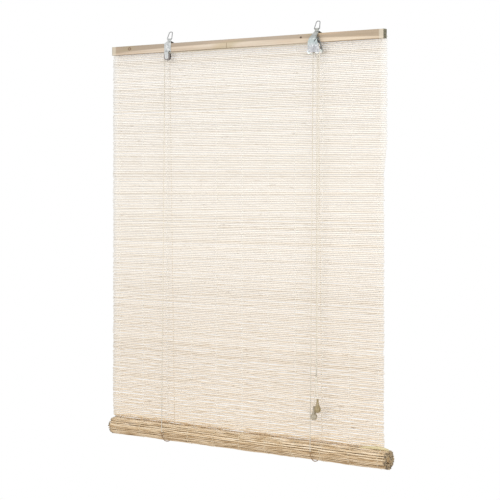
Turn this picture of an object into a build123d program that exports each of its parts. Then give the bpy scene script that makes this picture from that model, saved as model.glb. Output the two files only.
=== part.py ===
from build123d import *
from math import asin, atan2, cos, degrees, hypot, pi, radians, sin, tan
import os

os.makedirs("parts", exist_ok=True)

# Bamboo roll up blind. Millimetres, X along the headrail, -Y towards the room, +Z up.
# The origin is the middle of the headrail's top face.

# Headrail, a planed pine batten
rail_length = 800.0
rail_height = 21.5
rail_depth = 13.0
rail_edge_radius = 1.0

# Mat of split bamboo slats, woven on thin warp threads
mat_left_overhang = 8.0
mat_right_overhang = 0.0
mat_top_drop = 1.0
slat_pitch = 4.2
slat_width = 3.3
slat_thickness = 1.8
groove_web = 0.7
see_through_gap = 1.4
gap_step = 2
gap_end_margin = 8.0

# Roll at the lower end
roll_radius = 24.3
roll_depth_offset = 10.0
roll_axis_drop = 959.5
roll_left_overhang = 9.0
roll_right_overhang = 4.5
turn_pitch = 2.8
mat_lands_at = 50.0
bottom_rod_radius = 6.3
bottom_rod_inset = 3.0

# Clearances
seat_gap = 0.3
running_clearance = 0.05

# Stamped steel hangers
sheet = 0.8
hanger_spacing = 436.0
knuckle_height = 10.5
knuckle_outer_radius = 2.0
neck_width = 11.0
neck_bottom = 5.8
neck_top = 8.9
bend_radius = 1.2
back_leg_drop = 10.0
back_leg_width = 18.0
bail_wire_radius = 1.0
bail_height = 19.5
bail_foot_reach = 7.4
bail_top_reach = 4.6
bail_pin_length = 2.5
bail_lean = 20.0

# Cords
cord_radius = 1.0
cord_drift = 5.5

# Left hanger and its sheave
left_plate_width = 21.0
left_plate_drop = 28.0
left_tongue_width = 12.0
left_sheave_shift = 2.0
left_sheave_drop = 33.0
left_wrap_radius = 8.6
left_sheave_width = 5.0
left_sheave_flange = 9.8
strap_width = 11.0
strap_top_drop = 12.5
strap_step_top = 18.5
strap_step_bottom = 21.7
left_rivet_radius = 1.5

# Right hanger with the cord lock
lock_depth = 13.6
lock_bend_drop = 12.0
lock_sheave_drop = 29.5
lock_wrap_radius = 5.5
lock_sheave_flange = 6.0
lock_sheave_width = 4.4
plane_spacing = 5.2
lift_sheave_shift = 2.5
cross_sheave_shift = 12.0
guide_flange = 5.9
guide_gap = 0.6
guide_edge = 2.5
lock_rivet_radius = 1.25
lock_roller_radius = 3.4
lock_roller_pin = 1.2
lock_roller_teeth = 16
lock_tooth_depth = 0.35
lock_roller_travel = 5.0
lock_slot_angle = 53.0

# Screws, staples and rivet heads
screw_radius = 1.3
screw_head_radius = 2.6
screw_head_height = 1.6
screw_depth = 9.5
rivet_head_height = 0.8
rivet_head_extra = 1.2
staples_between_hangers = 5
staple_end_margin = 20.0
staple_hanger_margin = 6.0
staple_crown = 10.0
staple_wire = 0.7
staple_leg = 7.0
staple_drop = 7.0
anchor_drop = 16.0

# Turned wooden tassels, the knot above them and their places
tassel_length = 32.0
tassel_radius = 8.0
tassel_neck_radius = 2.6
tassel_shoulder = 30.0
tassel_bore = 1.4
tassel_recess_radius = 3.2
tassel_recess_depth = 6.5
end_knot_radius = 2.4
knot_place = (230.8, -21.2, -790.0)
knot_radius = 3.4
knot_height = 8.0
upper_tassel_top = (238.0, -27.5, -835.0)
lower_tassel_top = (225.5, -23.5, -853.0)

# Places that follow from the sizes above
rail_front = -rail_depth / 2
rail_back = rail_depth / 2
mat_left = -rail_length / 2 - mat_left_overhang
mat_right = rail_length / 2 + mat_right_overhang
mat_width = mat_right - mat_left
mat_plane = rail_back + slat_thickness / 2
mat_back = rail_back + slat_thickness
roll_y = roll_depth_offset
roll_z = -roll_axis_drop
roll_left = -rail_length / 2 - roll_left_overhang
roll_right = rail_length / 2 + roll_right_overhang
left_x = -hanger_spacing / 2
right_x = hanger_spacing / 2
cradle_radius = roll_radius + seat_gap + cord_radius
guide_z = -lock_sheave_drop - lock_sheave_flange - guide_flange - guide_gap
lock_bottom = guide_z - guide_edge

nodes = {}


def polygon_prism(points, start_x, length):
    """A prism along X whose section is a closed polygon of (y, z) points."""
    outline = Wire.make_polygon([Vector(start_x, y, z) for y, z in points], close=True)
    return extrude(Face(outline), amount=length, dir=(1, 0, 0))


def plate_prism(points, start_y, depth):
    """A prism along Y whose outline is a closed polygon of (x, z) points."""
    outline = Wire.make_polygon([Vector(x, start_y, z) for x, z in points], close=True)
    return extrude(Face(outline), amount=depth, dir=(0, 1, 0))


def rod_y(x, z, radius, y_from, y_to):
    """A round rod along Y."""
    base = Plane(origin=(x, y_from, z), z_dir=(0, 1, 0))
    return extrude(base * Circle(radius), amount=y_to - y_from)


def folded_strip(points, start_x, width, bend):
    """A folded sheet: its centreline runs through (y, z) points with round bends."""
    line = FilletPolyline([(y, z) for y, z in points], radius=bend)
    band = offset(line, amount=sheet / 2, side=Side.BOTH)
    section = Plane(origin=(start_x, 0, 0), x_dir=(0, 1, 0), z_dir=(1, 0, 0)) * make_face(band)
    return extrude(section, amount=width, dir=(1, 0, 0))


def tube(path, radius):
    """A round cord or wire along a path."""
    start = Plane(origin=path @ 0, z_dir=path % 0)
    return sweep(start * Circle(radius), path=path)


def arc_radii(points):
    """Each corner's arc: 0.45 of its shorter run over the tangent of half its turn."""
    radii = []
    for before, corner, after in zip(points, points[1:], points[2:]):
        run_in, run_out = Vector(*corner) - Vector(*before), Vector(*after) - Vector(*corner)
        half_turn = radians(run_in.get_angle(run_out)) / 2
        radii.append(0.45 * min(run_in.length, run_out.length) / tan(half_turn))
    return radii


def report_cord(name, solid, length):
    """Print how the tube's volume compares with its section times its length."""
    print(f"{name}: length {length:.1f}, volume ratio {solid.volume / (pi * cord_radius**2 * length):.4f}")


def rivet(x, z, radius, y_front, y_back):
    """A rivet along Y with a low head outside each plate."""
    head = radius + rivet_head_extra
    shank = rod_y(x, z, radius, y_front, y_back)
    front = rod_y(x, z, head, y_front - rivet_head_height, y_front)
    back = rod_y(x, z, head, y_back, y_back + rivet_head_height)
    return shank + front + back


def grooved_wheel(x, z, bore, y_middle, grooves, width, flange, groove_radius):
    """A wheel on a Y axle; grooves lists the y of each cord that runs in it."""
    y_low, y_high = y_middle - width / 2, y_middle + width / 2
    floor_half, mouth_half = cord_radius + 0.1, cord_radius + 0.6
    section = [(bore, y_low), (flange, y_low)]
    for y in grooves:
        section += [(flange, y - mouth_half), (groove_radius, y - floor_half)]
        section += [(groove_radius, y + floor_half), (flange, y + mouth_half)]
    section += [(flange, y_high), (bore, y_high)]
    outline = Wire.make_polygon([Vector(x + r, y, z) for r, y in section], close=True)
    return revolve(Face(outline), axis=Axis((x, 0, z), (0, 1, 0)))


# Headrail, with pilot holes for the two hanger screws
left_screw_x, left_screw_z = left_x + 1.0, -8.4
lock_screw_x, lock_screw_z = right_x - 5.0, -14.0


def make_headrail():
    rail = Pos(0, 0, -rail_height / 2) * Box(rail_length, rail_depth, rail_height)
    rail = fillet(rail.edges().filter_by(Axis.X), rail_edge_radius)
    screw_tip = rail_front - sheet + screw_depth
    for x, z in ((left_screw_x, left_screw_z), (lock_screw_x, lock_screw_z)):
        rail -= rod_y(x, z, screw_radius, rail_front - 1, screw_tip)
    return rail


# The hanging mat's middle line: straight down, then an arc back to the roll, which it meets
# at a tangent, mat_lands_at degrees above the roll's axis on its back
landing = radians(mat_lands_at)
landing_radius = roll_radius + seat_gap + slat_thickness / 2
bend_back_radius = (roll_y + landing_radius * cos(landing) - mat_plane) / (1 - cos(landing))
bend_start_z = roll_z + (landing_radius + bend_back_radius) * sin(landing)
straight_run = -mat_top_drop - bend_start_z
bent_run = bend_back_radius * landing
straight_slats = round(straight_run / slat_pitch)
bent_slats = round(bent_run / slat_pitch)


def mat_point(along, forward):
    """A (y, z) point on the mat, at a distance down it and a distance in front of its middle."""
    angle = max(0.0, (along - straight_run) / bend_back_radius)
    down = min(along, straight_run)
    y = mat_plane + bend_back_radius * (1 - cos(angle))
    z = -mat_top_drop - down - bend_back_radius * sin(angle)
    return y - forward * cos(angle), z - forward * sin(angle)


def woven_wall(start, run, slats):
    """A stretch of the mat: a web with a ridge for each slat, ending in the middle of a groove."""
    front, back = [], []
    pitch = run / slats
    for points, side in ((front, 1), (back, -1)):
        for i in range(slats):
            middle = start + (i + 0.5) * pitch
            points.append(mat_point(start + i * pitch, side * groove_web / 2))
            points.append(mat_point(middle - slat_width / 2, side * slat_thickness / 2))
            points.append(mat_point(middle + slat_width / 2, side * slat_thickness / 2))
        points.append(mat_point(start + run, side * groove_web / 2))
    return polygon_prism(front + back[::-1], mat_left, mat_width)


def make_mat():
    """The straight wall; every second groove is open, as wide as the two real gaps it stands for."""
    pitch = straight_run / straight_slats
    first_groove = round(1.3 * rail_height / pitch)
    gap_length = mat_width - 2 * gap_end_margin
    gaps = []
    for groove in range(first_groove, straight_slats - 1, gap_step):
        gap = Box(gap_length, 4 * slat_thickness, see_through_gap)
        gaps.append(Pos((mat_left + mat_right) / 2, mat_plane, -mat_top_drop - groove * pitch) * gap)
    print(len(gaps), "open gaps in the mat")
    return woven_wall(0, straight_run, straight_slats).cut(*gaps)


nodes["mat_lower_bend"] = woven_wall(straight_run, bent_run, bent_slats)


def make_roll():
    """The mat's lower part, rolled in one spiral that starts where the hanging mat lands."""
    outer, inner = [], []
    full_radius = roll_radius - slat_thickness / 2
    smallest = bottom_rod_radius + seat_gap + slat_thickness / 2
    half_thick, half_web = slat_thickness / 2, groove_web / 2

    def spiral_point(angle, outward):
        radius = full_radius - turn_pitch * (landing - angle) / (2 * pi) + outward
        return roll_y + radius * cos(angle), roll_z + radius * sin(angle)

    angle = landing
    while True:
        radius = full_radius - turn_pitch * (landing - angle) / (2 * pi)
        step = slat_pitch / radius
        if radius - turn_pitch * step / (2 * pi) < smallest:
            break
        edge = step * slat_width / slat_pitch / 2
        if angle < landing:
            outer.append(spiral_point(angle, half_web))
            inner.append(spiral_point(angle, -half_web))
        if landing - angle < 2.2 * pi:
            outer.append(spiral_point(angle - step / 2 + edge, half_thick))
            outer.append(spiral_point(angle - step / 2 - edge, half_thick))
        else:
            outer.append(spiral_point(angle - step / 2, half_thick))
        inner.append(spiral_point(angle - step / 2, -half_thick))
        angle -= step
    outer.append(spiral_point(angle, half_web))
    inner.append(spiral_point(angle, -half_web))
    return polygon_prism(outer + inner[::-1], roll_left, roll_right - roll_left)


nodes["roll_turns"] = make_roll()

rod_start = Plane(origin=(roll_left + bottom_rod_inset, roll_y, roll_z), z_dir=(1, 0, 0))
rod_length = roll_right - roll_left - 2 * bottom_rod_inset
nodes["bottom_rod"] = extrude(rod_start * Circle(bottom_rod_radius), amount=rod_length)


# Staples: each is a crown behind the mat and two legs driven through it into the rail
def staple(x, z, crown, crown_y):
    bar = Pos(x, crown_y + staple_wire / 2, z) * Box(crown, staple_wire, staple_wire)
    leg_length = crown_y - rail_back + staple_leg
    for side in (-1, 1):
        leg_x = x + side * (crown - staple_wire) / 2
        bar += Pos(leg_x, crown_y - leg_length / 2, z) * Box(staple_wire, leg_length, staple_wire)
    return bar


beside_hanger = back_leg_width / 2 + staple_crown / 2 + staple_hanger_margin
inner_reach, outer_reach = right_x - beside_hanger, right_x + beside_hanger
last_staple = rail_length / 2 - staple_end_margin
staple_places = [-last_staple, -outer_reach, outer_reach, last_staple]
for i in range(staples_between_hangers):
    staple_places.append(inner_reach * (2 * i / (staples_between_hangers - 1) - 1))
nodes["mat_staples"] = Compound([staple(x, -staple_drop, staple_crown, mat_back) for x in staple_places])


def leg_holes(x, z, crown):
    """The two holes that a staple's legs are driven in, through the mat into the rail."""
    side = staple_wire + 2 * running_clearance
    depth = staple_leg + slat_thickness + 1
    middle = rail_back - staple_leg - running_clearance + depth / 2
    offset_x = (crown - staple_wire) / 2
    return [Pos(x + s * offset_x, middle, z) * Box(side, depth, side) for s in (-1, 1)]


anchor_crown = 2 * cord_radius + 2 * staple_wire + 0.4
sheave_x = left_x + left_sheave_shift
lift_sheave_x = right_x + lift_sheave_shift
left_cord_x, lift_cord_x = sheave_x - left_wrap_radius, lift_sheave_x - lock_wrap_radius
staple_holes = []
for x in staple_places:
    staple_holes += leg_holes(x, -staple_drop, staple_crown)
for x in (left_cord_x, lift_cord_x):
    staple_holes += leg_holes(x, -anchor_drop, anchor_crown)
nodes["headrail"] = make_headrail().cut(*staple_holes)
nodes["mat"] = make_mat().cut(*staple_holes)


# Folded hangers: front leg, rolled knuckle for the bail, and a back leg behind the mat
def hanger(x, front_path, front_outline, holes):
    widest = 60.0
    neck = [(-sheet / 2, neck_top), (-sheet / 2, neck_bottom)]
    front = folded_strip(neck + front_path, x - widest / 2, widest, bend_radius)
    front &= plate_prism([(x + dx, z) for dx, z in front_outline], -40.0, 40.0)
    leg_y = mat_back + 0.2 + sheet / 2
    back_path = [(sheet / 2, neck_top), (sheet / 2, neck_bottom), (leg_y, 1.2), (leg_y, -back_leg_drop)]
    back = folded_strip(back_path, x - widest / 2, widest, bend_radius)
    half_neck, half_leg = neck_width / 2, back_leg_width / 2
    back_outline = [(x - half_neck, neck_top + 1), (x - half_neck, neck_bottom), (x - half_leg, 2.5)]
    back_outline += [(x - half_leg, -back_leg_drop + 3), (x - half_leg + 3, -back_leg_drop - 1)]
    back_outline += [(x + half_leg - 3, -back_leg_drop - 1), (x + half_leg, -back_leg_drop + 3)]
    back_outline += [(x + half_leg, 2.5), (x + half_neck, neck_bottom), (x + half_neck, neck_top + 1)]
    back &= plate_prism(back_outline, 0.0, 40.0)
    knuckle_start = Plane(origin=(x - half_neck, 0, knuckle_height), z_dir=(1, 0, 0))
    body = front + back + extrude(knuckle_start * Circle(knuckle_outer_radius), amount=neck_width)
    body -= extrude(knuckle_start * Circle(bail_wire_radius + running_clearance), amount=neck_width)
    for hole in holes:
        body -= hole
    return body


def bail(x):
    """A wire bail whose two feet turn in the knuckle, leaning back at rest."""
    half_neck = neck_width / 2
    inner = half_neck - bail_pin_length
    points = [(-inner, 0), (-bail_foot_reach, 0), (-bail_top_reach, bail_height)]
    points += [(-px, pz) for px, pz in points[::-1]]
    lean = radians(bail_lean)
    path = FilletPolyline(
        [(x + px, pz * sin(lean), knuckle_height + pz * cos(lean)) for px, pz in points],
        radius=[1.4, 3.6, 3.6, 1.4],
    )
    return tube(path, bail_wire_radius)


nodes["bail_left"] = bail(left_x)
nodes["bail_right"] = bail(right_x)

# Left hanger: the plate lies on the rail's front and ends in a tongue that carries the sheave
left_front_y = rail_front - sheet / 2
left_path = [(left_front_y, 1.2), (left_front_y, -60.0)]
half_plate, half_tongue, half_neck = left_plate_width / 2, left_tongue_width / 2, neck_width / 2
sheave_z = -left_sheave_drop
tongue_x = left_sheave_shift
tongue_end = -left_sheave_drop - half_tongue
left_outline = [(-half_neck, neck_top + 1), (-half_neck, neck_bottom), (-half_plate, -1.0)]
left_outline += [(-half_plate, -left_plate_drop + 3), (-half_plate + 3, -left_plate_drop)]
left_outline += [(tongue_x - half_tongue, -left_plate_drop), (tongue_x - half_tongue, tongue_end + 3)]
left_outline += [(tongue_x - half_tongue + 3, tongue_end), (tongue_x + half_tongue - 3, tongue_end)]
left_outline += [(tongue_x + half_tongue, tongue_end + 3), (tongue_x + half_tongue, -left_plate_drop)]
left_outline += [(half_plate, -left_plate_drop), (half_plate, -1.0)]
left_outline += [(half_neck, neck_bottom), (half_neck, neck_top + 1)]
plate_face = rail_front - sheet
sheave_y = plate_face - seat_gap - left_sheave_width / 2
strap_y = sheave_y - left_sheave_width / 2 - seat_gap - sheet / 2
left_holes = [
    rod_y(left_screw_x, left_screw_z, screw_radius + running_clearance, -20, rail_front + 0.1),
    rod_y(sheave_x, sheave_z, left_rivet_radius + running_clearance, -20, rail_front + 0.1),
]
nodes["hanger_left"] = hanger(left_x, left_path, left_outline, left_holes)

# The strap in front of the sheave is stepped forward from the plate that carries it
strap_path = [(plate_face - sheet / 2, -strap_top_drop + 3), (plate_face - sheet / 2, -strap_step_top)]
strap_path += [(strap_y, -strap_step_bottom), (strap_y, -60.0)]
half_strap = strap_width / 2
strap = folded_strip(strap_path, sheave_x - half_strap, strap_width, bend_radius)
strap_end = sheave_z - half_strap
strap_trim = Pos(sheave_x, -20, (strap_end - strap_top_drop) / 2) * Box(
    strap_width, 40, -strap_top_drop - strap_end
)
strap_trim = fillet(strap_trim.edges().filter_by(Axis.Y).group_by(Axis.Z)[0], half_strap - 1.5)
strap &= strap_trim
axle_hole = left_rivet_radius + running_clearance
nodes["sheave_strap"] = strap - rod_y(sheave_x, sheave_z, axle_hole, -30, plate_face)
nodes["sheave_left"] = grooved_wheel(
    sheave_x, sheave_z, left_rivet_radius + running_clearance, sheave_y, [sheave_y],
    left_sheave_width, left_sheave_flange, left_wrap_radius - cord_radius - seat_gap,
)
nodes["rivet_left"] = rivet(sheave_x, sheave_z, left_rivet_radius, strap_y - sheet / 2, rail_front)


def screw(x, z):
    """A pan head screw driven into the rail from the front."""
    shank = rod_y(x, z, screw_radius, plate_face, plate_face + screw_depth)
    head = rod_y(x, z, screw_head_radius, plate_face - screw_head_height, plate_face)
    head = fillet(head.edges().group_by(Axis.Y)[0], screw_head_height / 2)
    slot = Pos(x, plate_face - screw_head_height, z) * Box(2 * screw_head_radius + 1, 0.9, 0.7)
    return head - slot + shank


nodes["screw_left"] = screw(left_screw_x, left_screw_z)
nodes["screw_right"] = screw(lock_screw_x, lock_screw_z)


# Cord lock: the front plate stands off the rail, and the inner plate lies on it
lock_front_y = rail_front - lock_depth - sheet / 2
lock_inside_front = lock_front_y + sheet / 2
lock_inside_back = rail_front - sheet
lock_middle = (lock_inside_front + lock_inside_back) / 2
front_plane = lock_middle - plane_spacing / 2
back_plane = lock_middle + plane_spacing / 2
cross_sheave_x = right_x + cross_sheave_shift
lock_sheave_z = -lock_sheave_drop
pull_back_x = lift_sheave_x + lock_wrap_radius
pull_front_x = cross_sheave_x + lock_wrap_radius
guide_left_groove = lock_wrap_radius - cord_radius - seat_gap
guide_left_x = lift_cord_x - cord_radius - seat_gap - guide_left_groove
guide_right_x = (pull_back_x + pull_front_x) / 2
guide_right_groove = (pull_front_x - pull_back_x) / 2 - cord_radius - seat_gap
roller_x = (lift_sheave_x + cross_sheave_x) / 2
roller_z = lock_sheave_z + lock_wrap_radius + cord_radius + seat_gap + lock_roller_radius
slot_dx, slot_dz = cos(radians(lock_slot_angle)), sin(radians(lock_slot_angle))

lower_outline = [(-11.5, -21.0), (-11.5, lock_bottom + 1.5), (-10.0, lock_bottom)]
lower_outline += [(20.0, lock_bottom), (22.0, lock_bottom + 2.0), (13.0, -16.0)]
lock_outline = [(-half_neck, neck_top + 1), (-half_neck, neck_bottom), (-7.5, -11.0)] + lower_outline
lock_outline += [(9.5, -6.0), (half_neck, neck_bottom), (half_neck, neck_top + 1)]
lock_path = [(lock_front_y, -lock_bend_drop), (lock_front_y, -60.0)]


def slot_cutter(y_from, y_to):
    """The slanted slot that the lock roller's pins run in."""
    half = lock_roller_pin + 0.15
    across, up = half * slot_dz, half * slot_dx
    end_x = roller_x + slot_dx * lock_roller_travel
    end_z = roller_z + slot_dz * lock_roller_travel
    low = rod_y(roller_x, roller_z, half, y_from, y_to)
    high = rod_y(end_x, end_z, half, y_from, y_to)
    sides = [(roller_x - across, roller_z + up), (roller_x + across, roller_z - up)]
    sides += [(end_x + across, end_z - up), (end_x - across, end_z + up)]
    return low + high + plate_prism(sides, y_from, y_to - y_from)


axle_places = [(lift_sheave_x, lock_sheave_z), (cross_sheave_x, lock_sheave_z)]
axle_places += [(guide_left_x, guide_z), (guide_right_x, guide_z)]
hole_radius = lock_rivet_radius + running_clearance
front_holes = [rod_y(x, z, hole_radius, -30, lock_inside_front + 0.5) for x, z in axle_places]
front_holes.append(slot_cutter(-30.0, lock_inside_front + 0.5))
nodes["hanger_right"] = hanger(right_x, lock_path, lock_outline, front_holes)

inner_outline = [(right_x + dx, z) for dx, z in [(-12.0, -9.0)] + lower_outline + [(9.5, -9.0)]]
inner_plate = plate_prism(inner_outline, rail_front - sheet, sheet)
for x, z in axle_places:
    inner_plate -= rod_y(x, z, hole_radius, -30, 0)
inner_plate -= slot_cutter(-10.0, 0.0)
inner_plate -= rod_y(lock_screw_x, lock_screw_z, screw_radius + running_clearance, -30, 0)
nodes["lock_inner_plate"] = inner_plate
nodes["lock_rivets"] = Compound([
    rivet(x, z, lock_rivet_radius, lock_inside_front - sheet, rail_front) for x, z in axle_places
])
nodes["sheave_lift"] = grooved_wheel(
    lift_sheave_x, lock_sheave_z, hole_radius, back_plane, [back_plane],
    lock_sheave_width, lock_sheave_flange, guide_left_groove,
)
nodes["sheave_cross"] = grooved_wheel(
    cross_sheave_x, lock_sheave_z, hole_radius, front_plane, [front_plane],
    lock_sheave_width, lock_sheave_flange, guide_left_groove,
)
guide_width = lock_inside_back - lock_inside_front - 2 * seat_gap
nodes["guide_roller_left"] = grooved_wheel(
    guide_left_x, guide_z, hole_radius, lock_middle, [back_plane],
    guide_width, guide_flange, guide_left_groove,
)
nodes["guide_roller_right"] = grooved_wheel(
    guide_right_x, guide_z, hole_radius, lock_middle, [front_plane, back_plane],
    guide_width, guide_flange, guide_right_groove,
)


def make_lock_roller():
    """A straight knurled roller with a pin at each end."""
    ring = []
    for i in range(2 * lock_roller_teeth):
        radius = lock_roller_radius - (i % 2) * lock_tooth_depth
        angle = pi * i / lock_roller_teeth
        ring.append((roller_x + radius * cos(angle), roller_z + radius * sin(angle)))
    barrel = plate_prism(ring, lock_inside_front + seat_gap, guide_width)
    pin_front = lock_inside_front - 1.4 * sheet
    pins = rod_y(roller_x, roller_z, lock_roller_pin, pin_front, rail_front - 0.2)
    return barrel + pins


nodes["lock_roller"] = make_lock_roller()


# Lift cords: a front strand from the sheave, a cradle under the roll and a back strand to the rail
sheave_top = sheave_z + left_wrap_radius
cross_start = (left_cord_x, sheave_y, sheave_z)
cross_end = (pull_front_x, front_plane, lock_sheave_z)
cross_top = lock_sheave_z + lock_wrap_radius
cross_points = [cross_start, (left_cord_x, sheave_y, sheave_top)]
cross_points += [(pull_front_x, front_plane, cross_top), cross_end]
cross_radii = [left_wrap_radius * 0.98, lock_wrap_radius * 0.98]
cross_path = FilletPolyline(cross_points, radius=cross_radii)
nodes["cross_cord"] = tube(cross_path, cord_radius)
report_cord("cross_cord", nodes["cross_cord"], cross_path.length)

over_sheave = ThreePointArc(
    (lift_cord_x, back_plane, lock_sheave_z),
    (lift_sheave_x, back_plane, lock_sheave_z + lock_wrap_radius),
    (pull_back_x, back_plane, lock_sheave_z),
)
nodes["lift_cord_bend"] = tube(over_sheave, cord_radius)
report_cord("lift_cord_bend", nodes["lift_cord_bend"], over_sheave.length)

anchor_y = mat_back + 0.2 + cord_radius
lift_cords = {
    "left": (left_cord_x, sheave_y, sheave_z),
    "right": (lift_cord_x, back_plane, lock_sheave_z),
}
anchor_staples = []
for side, top in lift_cords.items():
    cradle_x = top[0] - cord_drift
    front_low = (cradle_x, roll_y - cradle_radius, roll_z)
    back_low = (cradle_x, roll_y + cradle_radius, roll_z)
    cradle = ThreePointArc(front_low, (cradle_x, roll_y, roll_z - cradle_radius), back_low)
    nodes[f"cradle_{side}"] = tube(cradle, cord_radius)
    report_cord(f"cradle_{side}", nodes[f"cradle_{side}"], cradle.length)
    lift = Vector(0, 0, seat_gap)
    front = Line(Vector(*top), Vector(*front_low) + lift)
    back = Line((top[0], anchor_y, -anchor_drop + 3), Vector(*back_low) + lift)
    for name, strand in ((f"lift_{side}_front", front), (f"lift_{side}_back", back)):
        nodes[name] = tube(strand, cord_radius)
        report_cord(name, nodes[name], strand.length)
    anchor_staples.append(staple(top[0], -anchor_drop, anchor_crown, anchor_y + cord_radius + 0.1))
nodes["anchor_staples"] = Compound(anchor_staples)


# Pull cords: straight down from the lock to the knot, then one to each tassel
knot = Vector(*knot_place)
strand_gap = cord_radius + 0.15
knot_top = knot.Z + knot_height / 2 + seat_gap
pull_ends = {
    "pull_cord_back": ((pull_back_x, back_plane, lock_sheave_z), knot.X - strand_gap),
    "pull_cord_front": ((pull_front_x, front_plane, lock_sheave_z), knot.X + strand_gap),
}
for name, (top, end_x) in pull_ends.items():
    strand = Line(top, (end_x, knot.Y, knot_top))
    nodes[name] = tube(strand, cord_radius)
    report_cord(name, nodes[name], strand.length)

knot_side = [(2.2, -knot_height / 2), (knot_radius, -1.4), (knot_radius, 1.4), (2.2, knot_height / 2)]
knot_section = Polyline((0, -knot_height / 2), *knot_side, (0, knot_height / 2), close=True)
knot_body = revolve(Plane.XZ * make_face(knot_section), axis=Axis.Z)
nodes["cord_knot"] = Pos(*knot_place) * knot_body


def make_tassel(top):
    """A turned drop with a bore for its cord and a recess for the knot that holds it."""
    belly_z = tassel_radius - tassel_length
    shoulder = radians(tassel_shoulder)
    meet_r, meet_z = tassel_radius * cos(shoulder), belly_z + tassel_radius * sin(shoulder)
    low = belly_z - (tassel_radius**2 - (tassel_recess_radius + 0.8) ** 2) ** 0.5
    side = TangentArc((meet_r, meet_z), (tassel_neck_radius, 0), tangent=(-sin(shoulder), cos(shoulder)))
    rim_angle = degrees(asin((belly_z - low) / tassel_radius))
    ball = CenterArc((0, belly_z), tassel_radius, -rim_angle, rim_angle + tassel_shoulder)
    hollow = Polyline(
        (tassel_recess_radius + 0.8, low),
        (tassel_recess_radius, low), (tassel_recess_radius, low + tassel_recess_depth),
        (tassel_bore, low + tassel_recess_depth), (tassel_bore, 0), (tassel_neck_radius, 0),
    )
    return Pos(*top) * revolve(Plane.XZ * make_face([side, ball, hollow]), axis=Axis.Z)


def tassel_cord(top, side):
    """The cord from the knot down through a tassel, ending in its own knot."""
    start = (knot.X + side * strand_gap, knot.Y, knot.Z - knot_height / 2 + 2)
    stop = Vector(*top) - Vector(0, 0, tassel_length - tassel_recess_depth + end_knot_radius)
    corner = Vector(*top) + Vector(0, 0, 10)
    points = [start, tuple(corner), tuple(stop)]
    radii = arc_radii(points)
    print("tassel cord arc radii", [round(r, 1) for r in radii])
    path = FilletPolyline(points, radius=radii)
    end_knot = Pos(*tuple(stop)) * Sphere(end_knot_radius)
    return tube(path, cord_radius) + end_knot


tassel_places = {"upper": (upper_tassel_top, 1), "lower": (lower_tassel_top, -1)}
for name, (top, side) in tassel_places.items():
    nodes[f"tassel_{name}"] = make_tassel(top)
    nodes[f"tassel_cord_{name}"] = tassel_cord(top, side)
    nodes["cord_knot"] -= nodes[f"tassel_cord_{name}"]

for name, shape in nodes.items():
    shape.label = name
    export_step(shape, f"parts/{name}.step")
print(len(nodes), "nodes;", straight_slats + bent_slats, "slats in the hanging mat")
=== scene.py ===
# %% [markdown]
# # Bamboo roll up blind
# A mat of split bamboo hangs from a pine headrail and ends in a roll, which two cords lift. The packed
# CAD parts give every rigid piece its place. This script adds what they leave out: each slat, the warp
# threads that hold the slats, the braided cords and the finish of wood, steel and nylon. All lengths
# are in metres, or in millimetres times MM.

from math import cos, pi, radians, sin

import bpy
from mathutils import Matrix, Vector


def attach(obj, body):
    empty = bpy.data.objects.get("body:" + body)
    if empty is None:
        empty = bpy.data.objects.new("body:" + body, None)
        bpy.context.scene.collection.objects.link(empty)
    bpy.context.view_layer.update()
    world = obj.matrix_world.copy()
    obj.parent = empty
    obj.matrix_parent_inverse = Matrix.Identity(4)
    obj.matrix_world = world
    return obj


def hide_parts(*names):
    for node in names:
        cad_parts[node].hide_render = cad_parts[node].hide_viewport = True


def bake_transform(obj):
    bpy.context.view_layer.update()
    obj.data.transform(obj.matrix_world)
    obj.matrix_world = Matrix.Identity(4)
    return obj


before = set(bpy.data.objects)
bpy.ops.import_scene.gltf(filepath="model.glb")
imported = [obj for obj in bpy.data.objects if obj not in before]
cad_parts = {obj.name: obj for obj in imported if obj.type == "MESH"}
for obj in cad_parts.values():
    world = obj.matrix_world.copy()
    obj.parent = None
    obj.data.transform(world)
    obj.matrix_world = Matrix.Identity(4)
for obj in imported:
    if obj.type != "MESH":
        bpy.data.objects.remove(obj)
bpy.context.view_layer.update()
MM = 0.001

# %% [markdown]
# ## Helpers
# Colours are written as sRGB hex, as a colour picker shows them, and turned to linear in one place, so
# that every material follows the same rule. One function adds a node with its settings and links. A
# tree could also be wired line by line, but then its links hide what it does.


# %% Colours and nodes
# The kinds of node that these trees need most
MATH, VECTOR, RAMP, FADE = ("ShaderNodeMath", "ShaderNodeCombineXYZ", "ShaderNodeValToRGB",
                            "ShaderNodeMapRange")


def srgb(hex_code):
    """An sRGB hex colour as the linear values that shader sockets hold."""
    channels = [int(hex_code[i : i + 2], 16) / 255 for i in (0, 2, 4)]
    linear = [c / 12.92 if c <= 0.04045 else ((c + 0.055) / 1.055) ** 2.4 for c in channels]
    return (*linear, 1.0)


def add_node(tree, kind, sockets=None, stops=(), **settings):
    """A node with its settings, and with the (position, hex) stops of a colour ramp.

    sockets gives each input a value, an output, or a node, which stands for its first output.
    """
    node = tree.nodes.new(kind)
    for name, value in settings.items():
        setattr(node, name, value)
    for key, value in (sockets or {}).items():
        if isinstance(value, bpy.types.Node):
            value = value.outputs[0]
        if isinstance(value, bpy.types.NodeSocket):
            tree.links.new(value, node.inputs[key])
        else:
            node.inputs[key].default_value = value
    if stops:
        elements = node.color_ramp.elements
        while len(elements) < len(stops):
            elements.new(0.5)
        for element, (place, colour) in zip(elements, stops):
            element.position = place
            element.color = srgb(colour)
    return node


# %% [markdown]
# A cord, a knot and the loose lath are all round bars along a line. A curve with a bevel could make
# them too. A swept ring is used because it also gives the bar a UV map, with v in metres along it,
# which the braid of the cords needs.


# %% Meshes and tubes
def new_object(name, data):
    """An object in the scene that shows a mesh, a curve, a lamp or a camera."""
    made = bpy.data.objects.new(name, data)
    bpy.context.collection.objects.link(made)
    return made


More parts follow.
